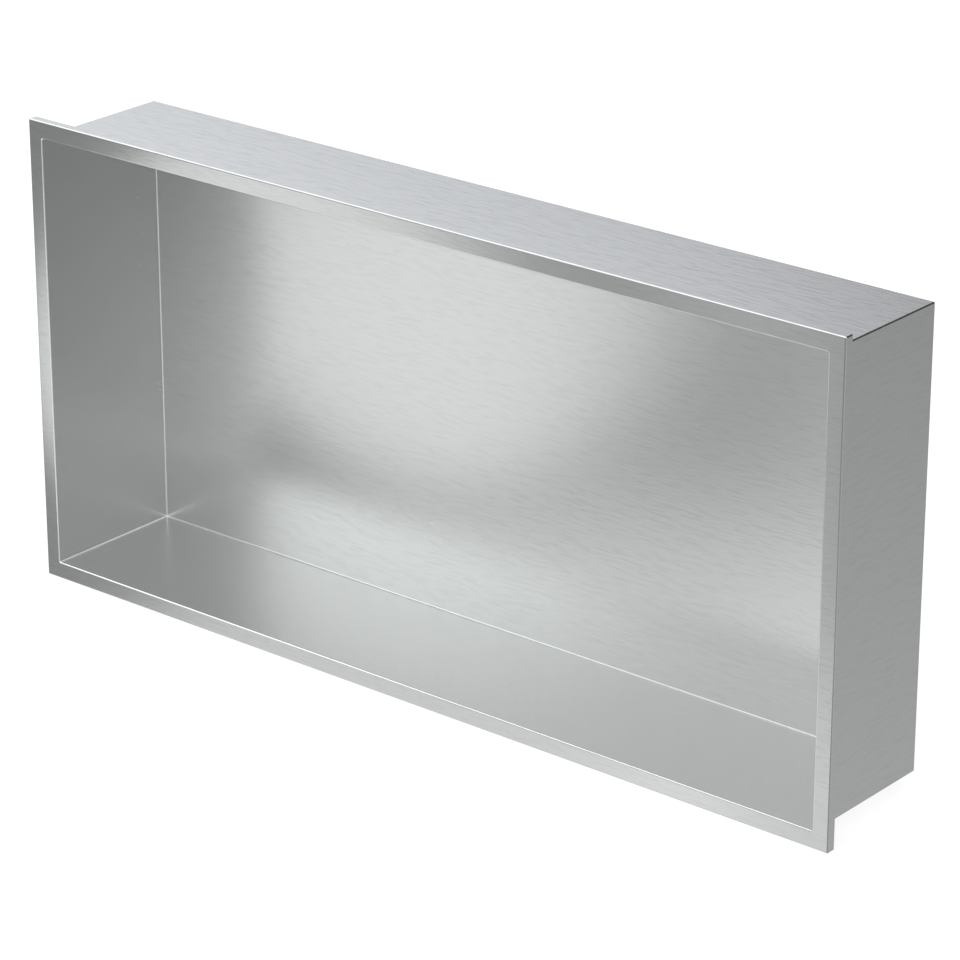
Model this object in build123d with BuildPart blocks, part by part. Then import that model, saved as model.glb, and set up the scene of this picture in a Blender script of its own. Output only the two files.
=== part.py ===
from build123d import *
import os

# A shower niche insert: one stainless sheet folded to a shallow pan, with a flange around its
# mouth that turns back to a lip. The corners are welded and dressed, so it is a single piece.
# The lip's rear rim seats on the tiled wall in the plane Y = 0, with its centre at the origin.
# The mouth looks along -Y, +X is the right-hand side seen from the room, and +Z is up.

# Overall sizes in millimetres
flange_width = 610.0
flange_height = 305.0
niche_depth = 100.0  # from the flange's front face to the outside of the back panel

# The folded rim
flange_face = 11.0  # from the flange's outer edge to the inside of the walls
lip_depth = 6.0  # from the flange's front face to the rim that seats on the wall

# The sheet, which is grooved along every fold before bending, so that the folds come out crisp
sheet = 1.0
fold_outside = 0.9  # radius on the outer side of every fold
fold_inside = 1.0  # radius on the inner side, where weld fills the groove

# Sizes that follow
mouth_width = flange_width - 2 * flange_face
mouth_height = flange_height - 2 * flange_face
box_width = mouth_width + 2 * sheet
box_height = mouth_height + 2 * sheet
lip_inner_width = flange_width - 2 * sheet
lip_inner_height = flange_height - 2 * sheet
pocket_depth = niche_depth - sheet
channel_depth = lip_depth - sheet

# Planes across the niche, which face the room
seat_plane = Plane.XZ
front_plane = seat_plane.offset(lip_depth)

with BuildPart() as niche_insert:
    # Outside of the flange, rounded at the fold to its lip and at the lip's welded corners
    with BuildSketch(front_plane):
        RectangleRounded(flange_width, flange_height, fold_outside)
    extrude(amount=-lip_depth)
    flange_front = faces().sort_by(Axis.Y)[0]
    fillet(flange_front.edges(), fold_outside)

    # Outside of the box, rounded at the folds to the back panel
    with BuildSketch(front_plane):
        RectangleRounded(box_width, box_height, fold_outside)
    extrude(amount=-niche_depth)
    back_outside = faces().sort_by(Axis.Y)[-1]
    fillet(back_outside.edges(), fold_outside)

    # Inside of the box, with the folds to the back panel and the open fold to the flange
    with BuildSketch(front_plane):
        RectangleRounded(mouth_width, mouth_height, fold_inside)
    extrude(amount=-pocket_depth, mode=Mode.SUBTRACT)
    back_inside = faces(Select.LAST).sort_by(Axis.Y)[-1]
    fillet(back_inside.edges(), fold_inside)
    mouth_rim = faces().sort_by(Axis.Y)[0].inner_wires()[0]
    fillet(mouth_rim.edges(), fold_outside)

    # Open channel behind the flange, between the lip and the box
    with BuildSketch(seat_plane):
        RectangleRounded(lip_inner_width, lip_inner_height, fold_inside)
        RectangleRounded(box_width, box_height, fold_outside, mode=Mode.SUBTRACT)
    extrude(amount=channel_depth, mode=Mode.SUBTRACT)
    flange_rear = faces(Select.LAST).sort_by(Axis.Y)[0]
    fillet(flange_rear.edges(), fold_inside)

os.makedirs("parts", exist_ok=True)
niche_insert.part.label = "niche_insert"
export_step(niche_insert.part, "parts/niche_insert.step")
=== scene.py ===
import math

import bpy
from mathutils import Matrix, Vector


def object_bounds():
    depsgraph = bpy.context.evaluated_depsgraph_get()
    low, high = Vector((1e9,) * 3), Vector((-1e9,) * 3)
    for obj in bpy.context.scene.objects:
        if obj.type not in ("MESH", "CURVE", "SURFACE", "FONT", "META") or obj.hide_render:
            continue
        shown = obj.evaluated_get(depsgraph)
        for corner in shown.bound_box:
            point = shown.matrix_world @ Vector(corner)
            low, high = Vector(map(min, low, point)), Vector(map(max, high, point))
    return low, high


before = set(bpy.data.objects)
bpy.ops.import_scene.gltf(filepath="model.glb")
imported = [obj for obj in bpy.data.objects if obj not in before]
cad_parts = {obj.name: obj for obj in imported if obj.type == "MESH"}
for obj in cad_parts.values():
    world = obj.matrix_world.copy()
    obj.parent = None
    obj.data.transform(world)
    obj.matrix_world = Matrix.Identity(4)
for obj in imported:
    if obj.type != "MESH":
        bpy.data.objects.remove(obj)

# The box of the CAD model
cad_low, cad_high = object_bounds()

# Brushed stainless steel: colours in linear light, lengths in metres
steel_bright = (0.686, 0.690, 0.688, 1.0)
steel_dark = (0.624, 0.628, 0.626, 1.0)
steel_roughness = 0.265
roughness_swing = 0.03  # from the smoothest hairline to the roughest
steel_anisotropy = 0.34
side_wall_normal = 0.7  # a face whose normal leans this far to the side is brushed along its depth
outer_margin = 0.0009  # a face that lies further out than this from the mouth's middle is an outer face
flat_normal = 0.985  # a face whose normal leans less than this along every axis is part of a fold
fold_painted_highlight = 0.13  # how much brighter the folds inside are painted, a painted highlight in place of their highlight lines

# The grain, of fine hairlines and short strokes: thickness across the brushing, length along it, depth
hairline_thickness = 0.0005
hairline_length = 0.014
hairline_depth = 1.8e-6
hairline_detail = 1.0  # octaves of finer noise
stroke_thickness = 0.0014
stroke_length = 0.010
stroke_depth = 1.0e-5
stroke_detail = 2.0
stroke_low = 0.46  # the noise below this is bare sheet
stroke_high = 0.74  # and above this is a full stroke
outer_size = 1.25  # strokes on the outer faces are larger
outer_depth = 2.3  # and on the outer walls also deeper
panel_darkness = 0.64  # strokes on the back panel and the flange are less dark than on the outer walls
wall_darkness = 0.15  # and those on the floor and the walls inside still less
side_strength = 0.5  # the side walls are brushed more lightly

# Camera in front of the niche, to the right and above, with no roll and no shift: lens in millimetres
camera_azimuth = math.radians(39.6)
camera_elevation = math.radians(22.25)
camera_distance = 2.366
camera_aim = Vector((0.032, 0.022, -0.0085))
camera_lens = 151.6
camera_sensor = 36.0

# Soft oval lights: place, what they face, half width, half height, brightness and tint
plain = (0.975, 1.0, 0.99)
pale = (0.985, 1.0, 1.01)
warm = (0.965, 1.0, 0.955)
cool = (0.98, 1.0, 1.05)
cold = (0.985, 1.0, 1.08)
soft_lights = {
    "low_left": ((-0.28, -0.19, -0.045), (0.0, 0.05, 0.03), 0.155, 0.15, 0.755, plain),
    "low_front": ((-0.08, -0.145, -0.49), (0.1, 0.0, 0.1), 0.415, 0.47, 0.575, pale),
    "low_right": ((0.135, -0.53, -0.32), (0.0, 0.0, 0.0), 0.11, 0.125, 0.64, warm),
    "front": ((-0.02, -0.375, -0.10), (0.0, 0.0, 0.0), 0.085, 0.29, 0.315, plain),
    "high_left": ((-0.605, -1.065, 0.195), (0.0, 0.0, 0.0), 0.165, 0.34, 0.35, cool),
    "high_back": ((-2.8, 1.3, 2.4), (0.0, 0.0, 0.0), 2.85, 1.65, 0.64, cold),
}

# Sky brightness by the sine of the height above the horizon, and how it leans to +X and +Y
sky_tint = (0.975, 1.0, 0.99, 1.0)
sky_heights = (-1.0, -0.45, 0.0, 0.45, 1.0)
sky_levels = (0.20, 0.48, 0.36, 1.00, 2.30)
sky_lean = (0.05, 0.18, 0.0)

# A dark flag high at the back: its middle, and where its edge begins and ends by cosine
flag_direction = Vector((0.20, 0.80, 0.56)).normalized()
flag_edge = 0.35
flag_core = 0.85
flag_light = 0.045  # share of the sky's light that is left in its core

# Floor under the niche, and the white of its glow and of the backdrop
floor_half_width = 40.0
floor_paint = (0.25, 0.25, 0.25, 1.0)
floor_glow = 0.86
white = (1.0, 1.0, 1.0, 1.0)


def fresh_tree(owner):
    """Turns on the nodes of a material or world, and empties them."""
    owner.use_nodes = True
    owner.node_tree.nodes.clear()
    return owner.node_tree


def put(tree, socket, value):
    """Links an output to a socket, or sets the socket to a plain value."""
    if isinstance(value, bpy.types.NodeSocket):
        tree.links.new(value, socket)
    else:
        socket.default_value = value


def calc(tree, operation, first, second=0.0, third=0.0):
    """One step of arithmetic between numbers."""
    step = tree.nodes.new("ShaderNodeMath")
    step.operation = operation
    for socket, value in zip(step.inputs, (first, second, third)):
        put(tree, socket, value)
    return step.outputs["Value"]


def vector_calc(tree, operation, first, second, third=(0.0, 0.0, 0.0)):
    """One step of arithmetic between vectors."""
    step = tree.nodes.new("ShaderNodeVectorMath")
    step.operation = operation
    for socket, value in zip(step.inputs, (first, second, third)):
        put(tree, socket, value)
    return step.outputs["Value" if operation == "DOT_PRODUCT" else "Vector"]


def spread(tree, value, low, high, new_low=0.0, new_high=1.0):
    """Stretches a range of values over a new range, and holds it at the ends."""
    step = tree.nodes.new("ShaderNodeMapRange")
    for name, number in zip(("From Min", "From Max", "To Min", "To Max"), (low, high, new_low, new_high)):
        step.inputs[name].default_value = number
    put(tree, step.inputs["Value"], value)
    return step.outputs["Result"]


def streaks(tree, position, on_side, thickness, length, detail):
    """Noise drawn out along the grain, from 0 to 1: along X, or along Y on the side walls."""
    along = 1.0 / length
    across = 1.0 / thickness
    turn = across - along
    scale = vector_calc(tree, "MULTIPLY_ADD", on_side, (turn, -turn, 0.0), (along, across, across))
    noise = tree.nodes.new("ShaderNodeTexNoise")
    noise.inputs["Scale"].default_value = 1.0
    noise.inputs["Detail"].default_value = detail
    put(tree, noise.inputs["Vector"], vector_calc(tree, "MULTIPLY", position, scale))
    return noise.outputs["Fac"]


def bump(tree, height, depth, normal=None):
    """Relief of a given depth, on top of other relief where there is some."""
    relief = tree.nodes.new("ShaderNodeBump")
    relief.inputs["Distance"].default_value = depth
    put(tree, relief.inputs["Height"], height)
    if normal is not None:
        put(tree, relief.inputs["Normal"], normal)
    return relief.outputs["Normal"]


def brushed_stainless():
    """Satin stainless sheet: hairlines and short strokes along the brushing, and a painted highlight on
    the folds inside.
    """
    material = bpy.data.materials.new("brushed_stainless_finish")
    tree = fresh_tree(material)
    output = tree.nodes.new("ShaderNodeOutputMaterial")
    steel = tree.nodes.new("ShaderNodeBsdfPrincipled")
    put(tree, output.inputs["Surface"], steel.outputs["BSDF"])

    # Which way a face looks: to a side, across a fold, or away from the middle of the mouth
    position = tree.nodes.new("ShaderNodeTexCoord").outputs["Object"]
    normal = tree.nodes.new("ShaderNodeNewGeometry").outputs["Normal"]
    parts = tree.nodes.new("ShaderNodeSeparateXYZ")
    put(tree, parts.inputs["Vector"], normal)
    lean_x, lean_y, lean_z = (calc(tree, "ABSOLUTE", parts.outputs[axis]) for axis in "XYZ")
    on_side = calc(tree, "GREATER_THAN", lean_x, side_wall_normal)
    flattest = calc(tree, "MAXIMUM", calc(tree, "MAXIMUM", lean_x, lean_y), lean_z)
    on_fold = calc(tree, "LESS_THAN", flattest, flat_normal)
    mouth = (cad_low + cad_high) / 2
    mouth.y = cad_low.y
    away = vector_calc(tree, "DOT_PRODUCT", vector_calc(tree, "SUBTRACT", position, mouth), normal)
    outside = calc(tree, "GREATER_THAN", away, outer_margin)
    outer_wall = calc(tree, "MULTIPLY", outside, calc(tree, "SUBTRACT", 1.0, lean_y))

    # The grain, with strokes that are larger outside and lighter on the side walls
    hairlines = streaks(tree, position, on_side, hairline_thickness, hairline_length, hairline_detail)
    shrink = calc(tree, "MULTIPLY_ADD", outside, 1.0 / outer_size - 1.0, 1.0)
    stroke_position = vector_calc(tree, "MULTIPLY", position, shrink)
    strokes = streaks(tree, stroke_position, on_side, stroke_thickness, stroke_length, stroke_detail)
    strength = calc(tree, "MULTIPLY_ADD", on_side, side_strength - 1.0, 1.0)
    strokes = calc(tree, "MULTIPLY", spread(tree, strokes, stroke_low, stroke_high), strength)

    # Colour is darker in the strokes, and brighter on the folds inside as a painted highlight
    tone = tree.nodes.new("ShaderNodeValToRGB")
    tone.color_ramp.elements[0].color = steel_bright
    tone.color_ramp.elements[1].color = steel_dark
    darkness = calc(tree, "MULTIPLY_ADD", lean_y, panel_darkness - wall_darkness, wall_darkness)
    darkness = calc(tree, "MULTIPLY_ADD", outer_wall, 1.0 - wall_darkness, darkness)
    put(tree, tone.inputs["Fac"], calc(tree, "MULTIPLY", strokes, darkness))
    shade = tree.nodes.new("ShaderNodeVectorMath")
    shade.operation = "SCALE"
    put(tree, shade.inputs["Vector"], tone.outputs["Color"])
    # Painted highlight: the folds inside get a brighter colour in place of the highlight lines along them
    inner_fold_highlight = calc(tree, "MULTIPLY", on_fold, calc(tree, "SUBTRACT", 1.0, outside))
    put(tree, shade.inputs["Scale"], calc(tree, "MULTIPLY_ADD", inner_fold_highlight, fold_painted_highlight, 1.0))
    put(tree, steel.inputs["Base Color"], shade.outputs["Vector"])

    # Roughness follows the hairlines
    smoothest = steel_roughness - roughness_swing / 2
    put(tree, steel.inputs["Roughness"], calc(tree, "MULTIPLY_ADD", hairlines, roughness_swing, smoothest))

    # Relief of the strokes, deeper on the outer walls, over that of the hairlines
    coarseness = calc(tree, "MULTIPLY_ADD", outer_wall, outer_depth - 1.0, 1.0)
    height = calc(tree, "MULTIPLY", strokes, coarseness)
    relief = bump(tree, hairlines, hairline_depth)
    relief = bump(tree, height, stroke_depth, relief)
    put(tree, steel.inputs["Normal"], relief)

    # Reflections draw out a little along the grain
    grain = tree.nodes.new("ShaderNodeCombineXYZ")
    put(tree, grain.inputs["X"], calc(tree, "SUBTRACT", 1.0, on_side))
    put(tree, grain.inputs["Y"], on_side)
    put(tree, steel.inputs["Tangent"], grain.outputs["Vector"])
    steel.inputs["Anisotropic"].default_value = steel_anisotropy
    steel.inputs["Metallic"].default_value = 1.0
    return material


def pale_floor():
    """White floor that glows softly, so that hardly any shadow shows on it."""
    material = bpy.data.materials.new("pale_floor_finish")
    tree = fresh_tree(material)
    output = tree.nodes.new("ShaderNodeOutputMaterial")
    paint = tree.nodes.new("ShaderNodeBsdfPrincipled")
    paint.inputs["Base Color"].default_value = floor_paint
    paint.inputs["Roughness"].default_value = 1.0
    paint.inputs["Specular IOR Level"].default_value = 0.0
    paint.inputs["Emission Color"].default_value = white
    paint.inputs["Emission Strength"].default_value = floor_glow
    put(tree, output.inputs["Surface"], paint.outputs["BSDF"])
    return material


def soft_light(name, place, faces, half_width, half_height, level, tint):
    """Oval light of even brightness, turned to face a point."""
    lamp = bpy.data.lights.new(name, "AREA")
    lamp.shape = "ELLIPSE"
    lamp.size = 2 * half_width
    lamp.size_y = 2 * half_height
    lamp.color = tint

    # The power of a flat, evenly bright light is its brightness times pi times its area
    area = math.pi * half_width * half_height
    lamp.energy = level * math.pi * area

    light = bpy.data.objects.new(name, lamp)
    light.location = place
    light.rotation_mode = "QUATERNION"
    light.rotation_quaternion = (Vector(faces) - Vector(place)).to_track_quat("-Z", "Y")
    light.visible_camera = False
    bpy.context.scene.collection.objects.link(light)


def studio_world():
    """Sky that is brightest overhead and dark behind the flag, with a white backdrop for the camera."""
    world = bpy.data.worlds.new("studio")
    tree = fresh_tree(world)
    direction = tree.nodes.new("ShaderNodeTexCoord").outputs["Generated"]
    parts = tree.nodes.new("ShaderNodeSeparateXYZ")
    put(tree, parts.inputs["Vector"], direction)

    # A ramp of brightness from straight down to straight up
    lowest = sky_heights[0]
    highest = sky_heights[-1]
    brightest = max(sky_levels)
    ramp = tree.nodes.new("ShaderNodeValToRGB")
    stops = ramp.color_ramp.elements
    for _ in sky_heights[len(stops):]:
        stops.new(1.0)
    for stop, height, brightness in zip(stops, sky_heights, sky_levels):
        stop.position = (height - lowest) / (highest - lowest)
        stop.color = (brightness / brightest,) * 3 + (1.0,)
    put(tree, ramp.inputs["Fac"], spread(tree, parts.outputs["Z"], lowest, highest))

    # The lean of the sky, and the flag in front of it
    level = calc(tree, "MULTIPLY", ramp.outputs["Color"], brightest)
    level = calc(tree, "ADD", level, vector_calc(tree, "DOT_PRODUCT", direction, sky_lean))
    towards_flag = vector_calc(tree, "DOT_PRODUCT", direction, flag_direction)
    flag = spread(tree, towards_flag, flag_edge, flag_core, 1.0, flag_light)
    level = calc(tree, "MULTIPLY", level, flag)
    sky = tree.nodes.new("ShaderNodeBackground")
    sky.inputs["Color"].default_value = sky_tint
    put(tree, sky.inputs["Strength"], calc(tree, "MAXIMUM", level, 0.0))

    # The camera sees the backdrop, and everything else the sky
    backdrop = tree.nodes.new("ShaderNodeBackground")
    backdrop.inputs["Color"].default_value = white
    chooser = tree.nodes.new("ShaderNodeMixShader")
    factor, for_the_rest, for_camera = chooser.inputs
    put(tree, factor, tree.nodes.new("ShaderNodeLightPath").outputs["Is Camera Ray"])
    put(tree, for_the_rest, sky.outputs["Background"])
    put(tree, for_camera, backdrop.outputs["Background"])
    output = tree.nodes.new("ShaderNodeOutputWorld")
    put(tree, output.inputs["Surface"], chooser.outputs["Shader"])
    return world


# Niche
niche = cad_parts["niche_insert"]
niche.material_slots[0].material = brushed_stainless()

# Floor
floor_level = cad_low.z
corners = [(x * floor_half_width, y * floor_half_width, floor_level)
           for x, y in ((-1, -1), (1, -1), (1, 1), (-1, 1))]
floor_mesh = bpy.data.meshes.new("floor")
floor_mesh.from_pydata(corners, [], [(0, 1, 2, 3)])
floor_mesh.materials.append(pale_floor())
floor = bpy.data.objects.new("floor", floor_mesh)
bpy.context.scene.collection.objects.link(floor)
floor.visible_glossy = False
floor.visible_shadow = False

# Light
bpy.context.scene.world = studio_world()
for name, settings in soft_lights.items():
    soft_light(name, *settings)

# Camera
camera_data = bpy.data.cameras.new("camera")
camera_data.lens = camera_lens
camera_data.sensor_width = camera_sensor
camera = bpy.data.objects.new("camera", camera_data)
bpy.context.scene.collection.objects.link(camera)
towards_camera = Vector((
    math.sin(camera_azimuth) * math.cos(camera_elevation),
    -math.cos(camera_azimuth) * math.cos(camera_elevation),
    math.sin(camera_elevation),
))
camera.location = camera_aim + towards_camera * camera_distance
camera.rotation_euler = (math.pi / 2 - camera_elevation, 0.0, camera_azimuth)
bpy.context.scene.camera = camera
bpy.context.scene.view_settings.view_transform = "Standard"
